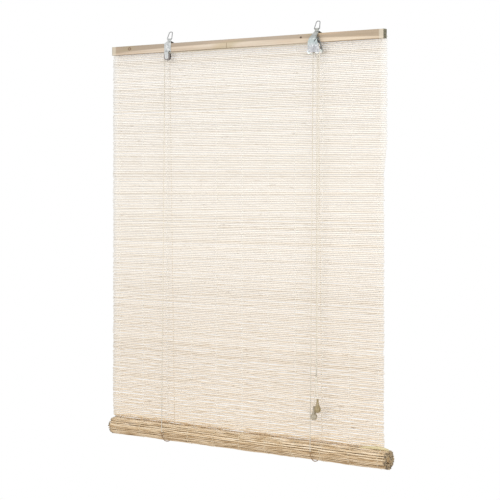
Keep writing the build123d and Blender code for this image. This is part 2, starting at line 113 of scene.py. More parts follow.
def mesh_object(name, verts, faces, uvs=None, smooth=True):
    """A mesh object from lists; uvs holds one (u, v) for each corner of each face."""
    mesh = bpy.data.meshes.new(name)
    mesh.from_pydata(verts, [], faces)
    if uvs:
        layer = mesh.uv_layers.new(name="along")
        for corner, uv in zip(layer.data, uvs):
            corner.uv = uv
    if smooth:
        mesh.shade_smooth()
    mesh.update()
    return new_object(name, mesh)


def sweep(name, points, radii, sides=10):
    """A round tube with capped ends along a line, with one radius for each of its points."""
    points = [Vector(p) for p in points]
    verts, faces, uvs, run = [], [], [], 0.0
    side = None
    for i, point in enumerate(points):
        ahead = points[min(i + 1, len(points) - 1)] - points[max(i - 1, 0)]
        ahead.normalize()
        if side is None:
            side = ahead.orthogonal().normalized()
        side = (side - ahead * side.dot(ahead)).normalized()
        across = ahead.cross(side)
        for k in range(sides):
            angle = 2 * pi * k / sides
            verts.append(point + (side * cos(angle) + across * sin(angle)) * radii[i])
        if i:
            step = (point - points[i - 1]).length
            low = (i - 1) * sides
            for k in range(sides):
                n = (k + 1) % sides
                faces.append((low + k, low + n, low + sides + n, low + sides + k))
                u0, u1 = k / sides, (k + 1) / sides
                uvs += [(u0, run), (u1, run), (u1, run + step), (u0, run + step)]
            run += step
    last = (len(points) - 1) * sides
    faces.append(tuple(range(sides - 1, -1, -1)))
    faces.append(tuple(range(last, last + sides)))
    uvs += [(0.5, 0.0)] * sides + [(0.5, run)] * sides
    return mesh_object(name, verts, faces, uvs)


# %% [markdown]
# ## Camera, light and backdrop
# The camera stands in front of the right half of the blind at the height of its upper third. It looks
# level, turned 36 degrees, and is shifted down, so that upright edges stay upright in the picture. A
# tilted camera would show the same pieces but lean them.

# %% Camera
camera_data = bpy.data.cameras.new("camera")
camera_data.lens = 106.2
camera_data.sensor_width = 36.0
camera_data.shift_y = -0.1442
camera = new_object("camera", camera_data)
camera.location = (2.0854, -2.8316, -0.332)
camera.rotation_euler = (radians(90), 0, radians(36))
scene = bpy.context.scene
scene.camera = camera
scene.view_settings.view_transform = "Standard"
print("camera", tuple(round(c, 3) for c in camera.location), "lens", camera_data.lens)

# %% [markdown]
# The light of a product photograph is flat: large soft lamps and a pale world. The world lights the
# blind at less than full white, but where the camera or a bright metal sees it straight, it is plain
# white. A brighter world would give a white backdrop too, and wash out the pale slats with it.

# %% World
WORLD_LIGHT = 0.84
WHITE = (1, 1, 1, 1)
world = bpy.data.worlds.new("studio")
scene.world = world
world.use_nodes = True
tree = world.node_tree
tree.nodes.clear()
rays = add_node(tree, "ShaderNodeLightPath").outputs
seen = add_node(tree, MATH, {0: rays["Is Camera Ray"], 1: rays["Is Glossy Ray"]}, operation="MAXIMUM")
clear = add_node(tree, MATH, {0: seen, 1: rays["Is Transmission Ray"]}, operation="MAXIMUM")
soft = add_node(tree, "ShaderNodeBackground", {"Color": WHITE, "Strength": WORLD_LIGHT})
white = add_node(tree, "ShaderNodeBackground", {"Color": WHITE, "Strength": 1.0})
mix = add_node(tree, "ShaderNodeMixShader", {0: clear, 1: soft, 2: white})
add_node(tree, "ShaderNodeOutputWorld", {0: mix})
print("world light", WORLD_LIGHT)


# %% Lamps
def lamp(name, place, aim, width, power):
    """A square soft lamp that looks at a point."""
    data = bpy.data.lights.new(name, "AREA")
    data.shape = "SQUARE"
    data.size = width
    data.energy = power
    piece = new_object(name, data)
    piece.location = place
    piece.rotation_euler = (Vector(aim) - Vector(place)).to_track_quat("-Z", "Y").to_euler()


lamp("key", (-0.2, -2.6, 0.1), aim=(0, 0, -0.45), width=1.6, power=20.5)
lamp("fill", (2.6, -1.6, 0.1), aim=(0, 0, -0.5), width=1.8, power=22.5)
lamp("back", (-0.4, 2.6, 0.9), aim=(0, 0, -0.45), width=2.0, power=16)
print("three lamps are in place")

# %% [markdown]
# The blind hangs free, so the floor is far below it: under the tassels of the raised blind, which hang
# down to 2.6 metres below the rail. The camera sees the floor as plain white, as it sees the world.

# %% Floor
FLOOR_Z = -2.75
FLOOR_HALF = 6
corners = ((-1, -1), (1, -1), (1, 1), (-1, 1))
floor = mesh_object("floor", [(FLOOR_HALF * x, FLOOR_HALF * y, FLOOR_Z) for x, y in corners],
                    [(0, 1, 2, 3)], smooth=False)
floor_paint = bpy.data.materials.new("white_floor")
floor_paint.use_nodes = True
tree = floor_paint.node_tree
tree.nodes.clear()
rays = add_node(tree, "ShaderNodeLightPath").outputs
matt = add_node(tree, "ShaderNodeBsdfDiffuse", {"Color": srgb("F4F4F4")})
glow = add_node(tree, "ShaderNodeEmission", {"Color": WHITE, "Strength": 1.0})
mix = add_node(tree, "ShaderNodeMixShader", {0: rays["Is Camera Ray"], 1: matt, 2: glow})
add_node(tree, "ShaderNodeOutputMaterial", {0: mix})
floor.data.materials.append(floor_paint)
print("floor at", FLOOR_Z)

# %% [markdown]
# ## Materials
# Each material is named for what the real thing is made of. Its patterns are noises on Object
# coordinates, stretched along the grain, with their sizes in millimetres. Pictures of real wood could
# do this too, but they need files and a UV map, and a noise fits any piece of the same wood.


# %% Helpers of the materials
def principled(name, colour, roughness, metallic=0.0):
    """A material with one principled shader; returns the material, its tree and the shader."""
    material = bpy.data.materials.new(name)
    material.use_nodes = True
    tree = material.node_tree
    shader = tree.nodes["Principled BSDF"]
    shader.inputs["Base Color"].default_value = srgb(colour)
    shader.inputs["Roughness"].default_value = roughness
    shader.inputs["Metallic"].default_value = metallic
    return material, tree, shader


def stretched_noise(tree, size, detail=3.0, roughness=0.55):
    """A noise whose features measure size, in millimetres, along X, Y and Z of the object."""
    where = add_node(tree, "ShaderNodeTexCoord").outputs["Object"]
    scale = [1 / (length * MM) for length in size]
    stretch = add_node(tree, "ShaderNodeMapping", {"Vector": where, "Scale": scale})
    noise = add_node(tree, "ShaderNodeTexNoise",
                     {"Vector": stretch, "Scale": 1.0, "Detail": detail, "Roughness": roughness})
    return noise.outputs["Fac"]


def patches(tree, pattern, low, high, amount):
    """A mask of the places where a pattern is high: none of it below low, amount above high."""
    mask = add_node(tree, RAMP, {"Fac": pattern}, [(low, "000000"), (high, "FFFFFF")])
    return add_node(tree, MATH, {0: mask, 1: amount}, operation="MULTIPLY")


def surface(tree, shader, colour, height, strength, depth):
    """Give a shader its colour, and a relief of some depth that follows a height."""
    relief = add_node(tree, "ShaderNodeBump", {"Height": height, "Strength": strength, "Distance": depth})
    tree.links.new(colour, shader.inputs["Base Color"])
    tree.links.new(relief.outputs[0], shader.inputs["Normal"])


def layered(tree, base, layers):
    """A base colour under layers, each one with its way to mix, its mask and its colour."""
    for way, mask, colour in layers:
        base = add_node(tree, "ShaderNodeMix", {0: mask, 6: base, 7: colour}, data_type="RGBA",
                        blend_type=way).outputs[2]
    return base


# %% [markdown]
# ### Split bamboo
# The slats are splints of a bamboo stem, so each one has its own tint, with fine fibres along it and brown
# flecks. Their lower rims are darker, which is painted shade. A plain colour with a bump would read as
# plastic. The slats carry two values for this: `tone`, one random number for each slat, and `rim`, which
# runs from -1 on a slat's lower edge to 1 on its upper edge and places the painted shade.


# %% Bamboo
MIDDLE_TINT = 0.52


def bamboo(name, tints, variety, fibre, fibre_amount, painted_rim_shade, ends, painted_light_by_height):
    """Split bamboo, from the tint of each slat up to the colour of its cut ends and of its height.

    ends says where the middle of the slats is, how far from it the cut ends start and are full, how
    much they show, and their dark and light colours. painted_light_by_height goes by the depth below the
    origin: it paints shade that deepens downwards, and a warmer light in the mat's bend above the roll.
    """
    material, tree, shader = principled(name, tints[0][1], 0.62)
    tone = add_node(tree, "ShaderNodeAttribute", attribute_name="tone").outputs["Fac"]
    mottle = stretched_noise(tree, (45.45, 1000, 3.846), 3.0, 0.6)
    spread = add_node(tree, FADE, {"Value": mottle, "From Min": 0.3, "From Max": 0.7,
                                   "To Min": -variety, "To Max": variety})
    lowest = MIDDLE_TINT - variety / 2
    value = add_node(tree, MATH, {0: tone, 1: variety, 2: lowest}, operation="MULTIPLY_ADD")
    value = add_node(tree, MATH, {0: value, 1: spread}, operation="ADD")
    base = add_node(tree, RAMP, {"Fac": value}, tints)
    # Real fibres are 0.2 mm wide; these are 1.1 mm, which is the finest that shows
    fibres = stretched_noise(tree, (71.43, 1.111, 1.111), 4.0)
    flecks = stretched_noise(tree, (33.33, 3.333, 3.333), 2.0)
    rim = add_node(tree, "ShaderNodeAttribute", attribute_name="rim").outputs["Fac"]
    # Painted shade: the lower rim of each slat is darkened, as if less light fell on it
    under = add_node(tree, FADE, {"Value": rim, "From Min": -0.3, "From Max": -0.75})
    where = add_node(tree, "ShaderNodeTexCoord").outputs["Object"]
    place = add_node(tree, "ShaderNodeSeparateXYZ", {0: where}).outputs
    reach = add_node(tree, MATH, {0: place["X"], 1: ends["middle"]}, operation="SUBTRACT")
    reach = add_node(tree, MATH, {0: reach}, operation="ABSOLUTE")
    edge = add_node(tree, FADE, {"Value": reach, "From Min": ends["start"], "From Max": ends["full"],
                                 "To Max": ends["amount"]})
    speckle = stretched_noise(tree, (7.692, 7.692, 7.692), 1.0)
    cut = add_node(tree, RAMP, {"Fac": speckle}, [(0.46, ends["dark"]), (0.54, ends["light"])])
    # Painted shade that deepens down the mat, and a warmer painted light in its bend above the roll
    depth = add_node(tree, MATH, {0: place["Z"], 1: -1.0}, operation="MULTIPLY")
    painted_height_light = add_node(tree, RAMP, {"Fac": depth}, painted_light_by_height)
    colour = layered(tree, base, [
        ("MIX", patches(tree, fibres, 0.42, 0.68, fibre_amount), srgb(fibre)),
        ("MIX", patches(tree, flecks, 0.66, 0.72, 0.45), srgb("8C6F4C")),
        ("MULTIPLY", under, srgb(painted_rim_shade)),
        ("MIX", edge, cut),
        ("MULTIPLY", 1.0, painted_height_light),
    ])
    surface(tree, shader, colour, fibres, strength=0.35, depth=0.4 * MM)
    return material


# Split bamboo of the hanging mat: thin, so the light comes through it and it looks nearly white. That
# light is painted into its tint
mat_bamboo = bamboo(
    "split_bamboo_pale", [(0.0, "DDD0BF"), (0.3, "F0E7DA"), (0.6, "FAF4EB"), (1.0, "FEFBF5")],
    variety=0.15, fibre="DFD2BF", fibre_amount=0.22, painted_rim_shade="B9B2A8",
    ends={"middle": -4 * MM, "start": 385 * MM, "full": 404 * MM, "amount": 0.6,
          "dark": "FAF9F5", "light": "FAF9F5"},
    # Painted shade, deeper towards the bottom, and a warmer painted light in the bend at the roll
    painted_light_by_height=[(0.0, "FFFFFF"), (0.45, "FEFCF9"), (0.8, "F5EEE5"), (0.92, "F4EADC"), (0.94, "FAE8CA")])
# The same bamboo in the roll: the turns lie on each other, so it looks tan, and its cut ends are dark
roll_bamboo = bamboo(
    "split_bamboo_tan", [(0.0, "B2946C"), (0.3, "D9C09A"), (0.65, "F0DCBD"), (1.0, "FAEEDA")],
    variety=0.45, fibre="A88459", fibre_amount=0.6, painted_rim_shade="D8CCBC",
    ends={"middle": -2.25 * MM, "start": 400 * MM, "full": 405 * MM, "amount": 0.7,
          "dark": "2A1E0C", "light": "B39D78"},
    painted_light_by_height=[(0.0, "FFFFFF"), (1.0, "FFFFFF")])
# Undyed spun cotton of the warp threads: matt and near white
warp_cotton = principled("cotton_thread", "FBF9F4", 0.9)[0]
# The same thread on the roll, where handling has yellowed it
yellowed_cotton = principled("yellowed_cotton_thread", "EDE0C6", 0.9)[0]
print("bamboo and cotton are ready")

# %% [markdown]
# ### Pine
# The headrail is a planed pine batten. It has long grain, a greyer band along its upper edge that widens
# to the ends, olive and pink patches, a knot near its left end, a small dark spot by the lock, a scratch
# and worn pale ends. Its lower edge is darkened with painted shade. Each of these is a mask over the
# grain, because a noise alone puts no mark where the real batten has it.

# %% Pine of the headrail
RAIL_FRONT = -6.5 * MM
RAIL_END = 399.2 * MM
BAND_BEND = 0.055
# From the middle out: a knot is a dark ring round a paler heart, and a spot is one dark patch
KNOT_MASK = [(0.0, "777777"), (0.42, "555555"), (0.62, "FFFFFF"), (0.8, "FFFFFF"), (1.0, "000000")]
SPOT_MASK = [(0.0, "FFFFFF"), (0.5, "FFFFFF"), (1.0, "000000")]


def round_mark(tree, where, x, z, radius, stops):
    """The mask of a round mark on the rail's front, a third longer than high."""
    offset = add_node(tree, "ShaderNodeVectorMath", {0: where, 1: (x, RAIL_FRONT, z)},
                      operation="SUBTRACT")
    shape = add_node(tree, "ShaderNodeVectorMath", {0: offset, 1: (0.75, 1, 1)}, operation="MULTIPLY")
    far = add_node(tree, "ShaderNodeVectorMath", {0: shape}, operation="LENGTH").outputs["Value"]
    share = add_node(tree, MATH, {0: far, 1: radius}, operation="DIVIDE")
    return add_node(tree, RAMP, {"Fac": share}, stops)


def scratch(tree, place, x, low, high, half_width):
    """The mask of an upright scratch on the rail's front."""
    offset = add_node(tree, MATH, {0: place["X"], 1: x}, operation="SUBTRACT")
    near = add_node(tree, MATH, {0: offset}, operation="ABSOLUTE")
    thin = add_node(tree, MATH, {0: near, 1: half_width}, operation="LESS_THAN")
    over = add_node(tree, MATH, {0: place["Z"], 1: low}, operation="GREATER_THAN")
    under = add_node(tree, MATH, {0: place["Z"], 1: high}, operation="LESS_THAN")
    tall = add_node(tree, MATH, {0: thin, 1: over}, operation="MULTIPLY")
    return add_node(tree, MATH, {0: tall, 1: under}, operation="MULTIPLY")


def pine():
    """Planed pine: long grain under the marks of this batten."""
    material, tree, shader = principled("planed_pine", "D2C0A2", 0.5)
    where = add_node(tree, "ShaderNodeTexCoord").outputs["Object"]
    place = add_node(tree, "ShaderNodeSeparateXYZ", {0: where}).outputs
    grain = stretched_noise(tree, (200, 3.03, 3.03), 5.0, 0.6)
    base = add_node(tree, RAMP, {"Fac": grain}, [(0.25, "BBA790"), (0.5, "D0C0AC"), (0.75, "DDD0BF")])
    square = add_node(tree, MATH, {0: place["X"], 1: place["X"]}, operation="MULTIPLY")
    bent = add_node(tree, MATH, {0: square, 1: BAND_BEND, 2: place["Z"]}, operation="MULTIPLY_ADD")
    reach = add_node(tree, MATH, {0: place["X"]}, operation="ABSOLUTE")
    # Each fade: what it goes by, where it starts and ends in millimetres, and its amounts there
    fade_rows = [
        ("upper band", bent, -9.2, -6.6, 0.0, 0.85),
        ("left", place["X"], -400, -120, 1.0, 0.0),
        ("right", place["X"], 100, 300, 0.0, 1.0),
        # Painted shade along the rail's lower edge
        ("lower edge", place["Z"], -20.2, -20.9, 0.0, 0.75),
        ("worn ends", reach, 386.5, 389, 0.0, 0.6),
    ]
    fades = {}
    for label, value, start, end, first, last in fade_rows:
        fades[label] = add_node(tree, FADE, {"Value": value, "From Min": start * MM,
                                             "From Max": end * MM, "To Min": first, "To Max": last})
    upper = add_node(tree, RAMP, {"Fac": stretched_noise(tree, (200, 16.67, 8.333), 3.0)},
                     [(0.3, "9B8B77"), (0.7, "AC9C8A")])
    olive = stretched_noise(tree, (142.9, 111.1, 33.33), 1.0)
    pink = stretched_noise(tree, (166.7, 50, 16.67), 2.0)
    knot = round_mark(tree, where, -342 * MM, -7.4 * MM, 4.2 * MM, KNOT_MASK)
    spot = round_mark(tree, where, 178 * MM, -7.5 * MM, 2.9 * MM, SPOT_MASK)
    line = scratch(tree, place, -37 * MM, low=-20.5 * MM, high=-8.5 * MM, half_width=0.6 * MM)
    end_grain = add_node(tree, MATH, {0: reach, 1: RAIL_END}, operation="GREATER_THAN")
    pores = add_node(tree, RAMP, {"Fac": stretched_noise(tree, (16.67, 2.0, 3.846), 4.0)},
                     [(0.35, "3E3A29"), (0.65, "857F63")])
    colour = layered(tree, base, [
        ("MIX", fades["upper band"], upper),
        ("MIX", patches(tree, olive, 0.58, 0.66, 0.42), srgb("A79A70")),
        ("MIX", patches(tree, pink, 0.55, 0.75, 0.35), srgb("D9B594")),
        ("MIX", knot, srgb("6E4F38")),
        ("MIX", spot, srgb("40260F")),
        ("MIX", line, srgb("7C6549")),
        ("MULTIPLY", fades["left"], srgb("F4EFEA")),
        ("MULTIPLY", fades["right"], srgb("FEF9F0")),
        # Painted shade on the lower edge
        ("MIX", fades["lower edge"], srgb("7D664A")),
        ("MIX", fades["worn ends"], srgb("D3CAB6")),
        ("MIX", end_grain, pores),
    ])
    surface(tree, shader, colour, grain, strength=0.2, depth=0.4 * MM)
    return material


planed_pine = pine()


def grained(name, dark, light):
    """Plain wood with grain along X, 2.5 mm wide."""
    material, tree, shader = principled(name, light, 0.6)
    grain = stretched_noise(tree, (100, 2.5, 2.5))
    tint = add_node(tree, RAMP, {"Fac": grain}, [(0.3, dark), (0.7, light)])
    tree.links.new(tint.outputs[0], shader.inputs["Base Color"])
    return material


# Turned softwood of the rod in the roll, darker than the slats round it
dowel_wood = grained("dowel_wood", "8F7450", "B89A6C")
# Fresh split bamboo of the loose lath, yellower than the old slats
lath_bamboo = grained("bamboo_lath", "BFAF82", "E2D6AE")
print("pine, dowel and lath are ready")

# %% [markdown]
# ### Steel and nylon
# The hangers are stamped from zinc-plated sheet and the bails are bent wire. Plating isn't even: it has
# soft spots that are duller or brighter, and they change its gloss too. One noise drives both, because
# two would put gloss where the eye sees no spot. The lock's front plate is a darker copy of the zinc,
# which is painted shade, with painted reflections in colours by height: lilac at its foot, blue above it
# and warm grey at its neck.


# %% Steel and nylon
def steel(name, dark, colour, light, roughness, scuffs, bands=()):
    """Steel with soft spots 6 mm wide that change its colour and its gloss by scuffs, and with bands."""
    material, tree, shader = principled(name, colour, roughness, 0.8)
    noise = stretched_noise(tree, (5.882, 5.882, 5.882), 6.0, 0.7)
    spread = add_node(tree, FADE,
                      {"Value": noise, "From Min": 0.3, "From Max": 0.7, "To Min": roughness - scuffs,
                       "To Max": roughness + scuffs})
    tint = add_node(tree, RAMP, {"Fac": noise}, [(0.32, dark), (0.5, colour), (0.68, light)]).outputs[0]
    # Painted reflections: a colour for each height of the plate, mixed over the steel
    if bands:
        where = add_node(tree, "ShaderNodeTexCoord").outputs["Object"]
        place = add_node(tree, "ShaderNodeSeparateXYZ", {0: where}).outputs
        height = add_node(tree, FADE, {"Value": place["Z"], "From Min": -40 * MM, "From Max": 20 * MM})
        reflection_colour = add_node(tree, RAMP, {"Fac": height}, bands)
        tint = layered(tree, tint, [("MIX", 0.4, reflection_colour)])
    tree.links.new(spread.outputs[0], shader.inputs["Roughness"])
    surface(tree, shader, tint, noise, strength=0.08, depth=0.3 * MM)
    return material


# Zinc-plated sheet of the left hanger and the lock's inner plate: pale grey with a soft gloss
zinc_sheet = steel("zinc_plated_sheet", "A6A9A9", "C6C8C7", "DEDEDC", 0.42, 0.1)
# The lock's front plate: a darker copy of the zinc sheet, which is painted shade, with painted reflections
zinc_with_painted_light = steel("zinc_plate_with_painted_light", "646A68", "AAAFAD", "DEDFDD", 0.46, 0.12,
                  [(0.1, "B5AFB7"), (0.33, "A6B8BA"), (0.5, "B3B9B7"), (0.65, "BAB7AF")])
# Drawn wire of the bails: a dark even grey
bail_wire = steel("bail_wire", "6E6F70", "8E8F90", "B0B1B2", 0.4, 0.08)
# Nickel-plated screws and rivets, the brightest metal here
bright_steel = steel("nickel_plated_steel", "B0B1B2", "D0D2D4", "E2E3E4", 0.2, 0.08)
# Oiled steel of the knurled lock roller, nearly black
dark_steel = steel("oiled_steel", "3F4044", "5A5B60", "77787C", 0.4, 0.1)
# Left sheave: steel in a dark grey-brown, which is painted shade
shaded_steel = steel("shaded_steel", "6E6866", "8E8784", "A9A3A0", 0.45, 0.1)
# Galvanised wire of the staples
staple_steel = steel("galvanised_wire", "86888A", "A6A8AA", "BFC1C2", 0.45, 0.1)
# Moulded nylon of the white sheaves and rollers, which lets a little light in
white_nylon, _, shader = principled("moulded_nylon", "F2F2EF", 0.42)
shader.inputs["Subsurface Weight"].default_value = 0.1
print("steel and nylon are ready")

# %% [markdown]
# ### Braid and tassels
# The cords are braided, with strands that slant both ways round them. Two slanting waves on the UV map,
# one for each way, give that pattern along any cord. Modelled strands would look the same at this size
# and cost a hundred times the faces. The tassels are turned from wood, with a gloss coat.

# %% Braid and tassels
BRAID_REPEAT = 4.762 * MM
BRAID_STRANDS = 4.0


def braid(name, dark, middle, light):
    """Braided polyester cord; its repeat is drawn at over twice its real size, or it wouldn't show."""
    material, tree, shader = principled(name, light, 0.8)
    uv = add_node(tree, "ShaderNodeUVMap", uv_map="along")
    place = add_node(tree, "ShaderNodeSeparateXYZ", {0: uv}).outputs
    waves = []
    for turn in (1, -1):
        around = add_node(tree, MATH, {0: place["X"], 1: BRAID_STRANDS * turn}, operation="MULTIPLY")
        total = add_node(tree, MATH, {0: place["Y"], 1: 2 / BRAID_REPEAT, 2: around},
                         operation="MULTIPLY_ADD")
        waves.append(add_node(tree, MATH, {0: total, 1: 1.0}, operation="PINGPONG"))
    plait = add_node(tree, MATH, {0: waves[0], 1: waves[1]}, operation="MULTIPLY")
    tint = add_node(tree, RAMP, {"Fac": plait}, [(0.0, dark), (0.4, middle), (1.0, light)])
    surface(tree, shader, tint.outputs[0], plait, strength=0.5, depth=0.3 * MM)
    return material


# Cream polyester cord, a little darker between its strands
braided_cord = braid("braided_cord", "C9BFAC", "EDE6D9", "FAF6EE")
# The same cord under the roll, in a darker tan-brown
under_roll_cord = braid("under_roll_braided_cord", "8E7050", "B8977A", "CFAF90")


def lacquered(name, dark, light):
    """Turned and lacquered wood of a tassel, with grain along its axis."""
    material, tree, shader = principled(name, light, 0.28)
    grain = stretched_noise(tree, (1.111, 1.111, 11.11), 4.0)
    tint = add_node(tree, RAMP, {"Fac": grain}, [(0.3, dark), (0.7, light)])
    tree.links.new(tint.outputs[0], shader.inputs["Base Color"])
    shader.inputs["Coat Weight"].default_value = 0.4
    return material


# The upper tassel is a yellow wood and the lower one a greyer wood, both glossy
yellow_tassel = lacquered("lacquered_beech", "665633", "B29F74")
grey_tassel = lacquered("lacquered_ash", "6F6450", "C8BDA5")
print("cord and tassel finishes are ready")

# %% [markdown]
# ## Cords
# Two pull cords leave the cord lock and hang to a knot in front of the right side of the mat. Below the
# knot each one goes on to its own wooden tassel. The route's points are those of the CAD tubes, as control
# points of a NURBS line, which bends softly between them. A line drawn through the points themselves would
# swing wide of the tube. Each straight run has one more point 12 mm below its top.

# %% Pull cords and tassel cords
CORD_RADIUS = 1.0 * MM
KNOT = Vector((0.2308, -0.0212, -0.790))
pull_routes = {
    "pull_cord_back": [(0.226, -0.0111, -0.0295), (0.22606, -0.01126, -0.0415),
                       (0.22965, -0.0212, -0.7857)],
    "pull_cord_front": [(0.2355, -0.0163, -0.0295), (0.23544, -0.01638, -0.0415),
                        (0.23195, -0.0212, -0.7857)],
}
tassel_routes = {
    "tassel_cord_upper": [(0.23195, -0.0212, -0.792), (0.238, -0.0275, -0.825), (0.238, -0.0275, -0.837),
                          (0.238, -0.0275, -0.8629)],
    "tassel_cord_lower": [(0.22965, -0.0212, -0.792), (0.2255, -0.0235, -0.843), (0.2255, -0.0235, -0.855),
                          (0.2255, -0.0235, -0.8809)],
}


def nurbs_cord(name, points):
    """A cord on a NURBS line with the route's points as control points, and that line's points."""
    curve = bpy.data.curves.new(name, "CURVE")
    curve.dimensions = "3D"
    curve.resolution_u = 12
    spline = curve.splines.new("NURBS")
    spline.points.add(len(points) - 1)
    for control, place in zip(spline.points, points):
        control.co = (*place, 1.0)
    spline.order_u = 3
    spline.use_endpoint_u = True
    line_object = new_object(name + "_line", curve)
    bpy.context.view_layer.update()
    line = bpy.data.meshes.new_from_object(line_object)
    path = [v.co.copy() for v in line.vertices]
    bpy.data.objects.remove(line_object)
    piece = sweep(name, path, [CORD_RADIUS] * len(path))
    piece.data.materials.append(braided_cord)
    return piece, path


def path_length(path):
    """The length of a line of points."""
    return sum((b - a).length for a, b in zip(path, path[1:]))


cord_pieces = {}
for name, route in (pull_routes | tassel_routes).items():
    piece, path = nurbs_cord(name + "_braid", route)
    cord_pieces[name] = (piece, path)
    if name in pull_routes:
        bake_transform(piece)
        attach(piece, "rail")
    else:
        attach(piece, "tassels")
    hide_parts(name)
    print(name, "length", round(path_length(path), 4))

# %% [markdown]
# The knots are tied in the same cord, and its wraps can be seen. A ball would be simpler, and a true
# knot would need a long list of points, so each knot is a short helix that swells at its middle, wound
# round the strands that it holds.

# %% Knots
KNOT_WAIST = 0.72


def wound_knot(name, centre, radius, height, wraps, cord):
    """A knot of a few wraps of cord: its ends are narrower than its middle."""
    points = []
    steps = 14 * wraps
    for i in range(steps + 1):
        share = i / steps
        angle = 2 * pi * wraps * share
        lift = (share - 0.5) * (height - 2 * cord)
        r = (radius - cord) * (KNOT_WAIST + (1 - KNOT_WAIST) * sin(pi * share))
        points.append(centre + Vector((r * cos(angle), r * sin(angle), lift)))
    piece = sweep(name, points, [cord] * len(points), sides=8)
    piece.data.materials.append(braided_cord)
    return piece


main_knot = wound_knot("cord_knot_wraps", KNOT, radius=3.4 * MM, height=8 * MM, wraps=4, cord=1.0 * MM)
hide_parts("cord_knot")
end_knots = {}
for name, route in tassel_routes.items():
    end_knots[name] = wound_knot(name + "_end_knot", Vector(route[-1]), radius=2.4 * MM,
                                 height=4.6 * MM, wraps=3, cord=0.9 * MM)
for knot in (main_knot, *end_knots.values()):
    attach(knot, "tassels")
print("knots", 1 + len(end_knots))

# %% [markdown]
# All four cords hang free. The loop below only looks up each one's piece and line.

# %% Free cords
for name, route in (pull_routes | tassel_routes).items():
    piece, path = cord_pieces[name]
print("free cords", len(cord_pieces))

# %% [markdown]
# ## Woven mat
# The mat is some 225 slats in a row, tied by warp threads in columns. An array of one slat would be
# quick, but all slats would be alike, and modelling each one would be endless. So a node tree lays slats
# along a profile line. Each one is a flattened rod with its own width, thickness, tilt and tone, and it
# wanders a little along its length, more so low on the mat, where the weave is looser. The same tree ties
# the slats with two warp threads at every column, which pass in front of and behind each slat.

# %% Inputs of the slat tree
TREE_INPUTS = [
    ("Geometry", "Geometry", None), ("Slats", "Int", 10), ("Length", "Float", 0.8),
    ("Centre X", "Float", 0.0), ("Slat Width", "Float", 3.6 * MM), ("Slat Thickness", "Float", 1.5 * MM),
    ("Segments", "Int", 40), ("Wander", "Float", 0.6 * MM), ("Wander Scale", "Float", 20.0),
    ("Slant", "Float", 0.0006), ("Edge Spread", "Float", 1.5 * MM), ("Seed", "Int", 1),
    ("Stitch", "Object", None), ("Stitch Columns", "Int", 11), ("Stitch Spacing", "Float", 77 * MM),
    ("Stitched Slats", "Int", 10000), ("Slat Material", "Material", None),
    ("Thread Material", "Material", None),
]
# What differs from slat to slat, in the order of the seeds, and between which values
CHANCES = [
    ("thickness", 0.8, 1.15), ("width", 0.88, 1.06), ("tilt", -0.35, 0.35), ("slant", -1.0, 1.0),
    ("end", -1.0, 1.0), ("sag", -0.3 * MM, 0.3 * MM), ("tone", 0.0, 1.0), ("stitch", -0.5 * MM, 0.5 * MM),
]
# Slats wander more the farther they hang below LOOSE_BELOW, and more up and down than in and out
LOOSE_BELOW = -0.5
LOOSENESS = 16.0
UPRIGHT_WANDER = 2.2
# How far apart in the noise the slats' lanes can lie, so that no two slats wander alike
LANES = 900.0
print("slat tree inputs", len(TREE_INPUTS))


# %% Slats in the tree
def lay_slats(tree, given, line, turn, chance):
    """Slats on the points of a line, realised and moved a little from their places."""
    rod = add_node(tree, "GeometryNodeMeshCylinder",
                   {"Vertices": 6, "Side Segments": given["Segments"], "Radius": 0.5, "Depth": 1.0})
    corner = add_node(tree, "GeometryNodeInputPosition")
    height = add_node(tree, "ShaderNodeSeparateXYZ", {0: corner}).outputs["X"]
    rim = add_node(tree, MATH, {0: height, 1: 2.0}, operation="MULTIPLY")
    rod = add_node(tree, "GeometryNodeStoreNamedAttribute", {"Geometry": rod, "Name": "rim", "Value": rim},
                   data_type="FLOAT", domain="POINT")
    size = add_node(tree, VECTOR,
                    {0: given["Slat Width"], 1: given["Slat Thickness"], 2: given["Length"]})
    flat = add_node(tree, "GeometryNodeTransform",
                    {"Geometry": rod, "Rotation": (0, radians(90), 0), "Scale": size})
    own_size = add_node(tree, VECTOR, {0: 1.0, 1: chance["thickness"], 2: chance["width"]})
    slats = add_node(tree, "GeometryNodeInstanceOnPoints",
                     {"Points": line, "Instance": flat, "Rotation": turn, "Scale": own_size})
    slant = add_node(tree, MATH, {0: given["Slant"], 1: chance["slant"]}, operation="MULTIPLY")
    tilt = add_node(tree, VECTOR, {0: chance["tilt"], 1: slant})
    slats = add_node(tree, "GeometryNodeRotateInstances", {"Instances": slats, "Rotation": tilt})
    spread = add_node(tree, MATH, {0: given["Edge Spread"], 1: chance["end"]}, operation="MULTIPLY")
    middle = add_node(tree, MATH, {0: given["Centre X"], 1: spread}, operation="ADD")
    shift = add_node(tree, VECTOR, {0: middle, 2: chance["sag"]})
    slats = add_node(tree, "GeometryNodeTranslateInstances", {"Instances": slats, "Translation": shift})
    slats = add_node(tree, "GeometryNodeStoreNamedAttribute",
                     {"Geometry": slats, "Name": "tone", "Value": chance["tone"]},
                     data_type="FLOAT", domain="INSTANCE")
    slats = add_node(tree, "GeometryNodeRealizeInstances", {"Geometry": slats})
    drift = slat_drift(tree, given)
    slats = add_node(tree, "GeometryNodeSetPosition", {"Geometry": slats, "Offset": drift})
    return add_node(tree, "GeometryNodeSetMaterial",
                    {"Geometry": slats, "Material": given["Slat Material"]})


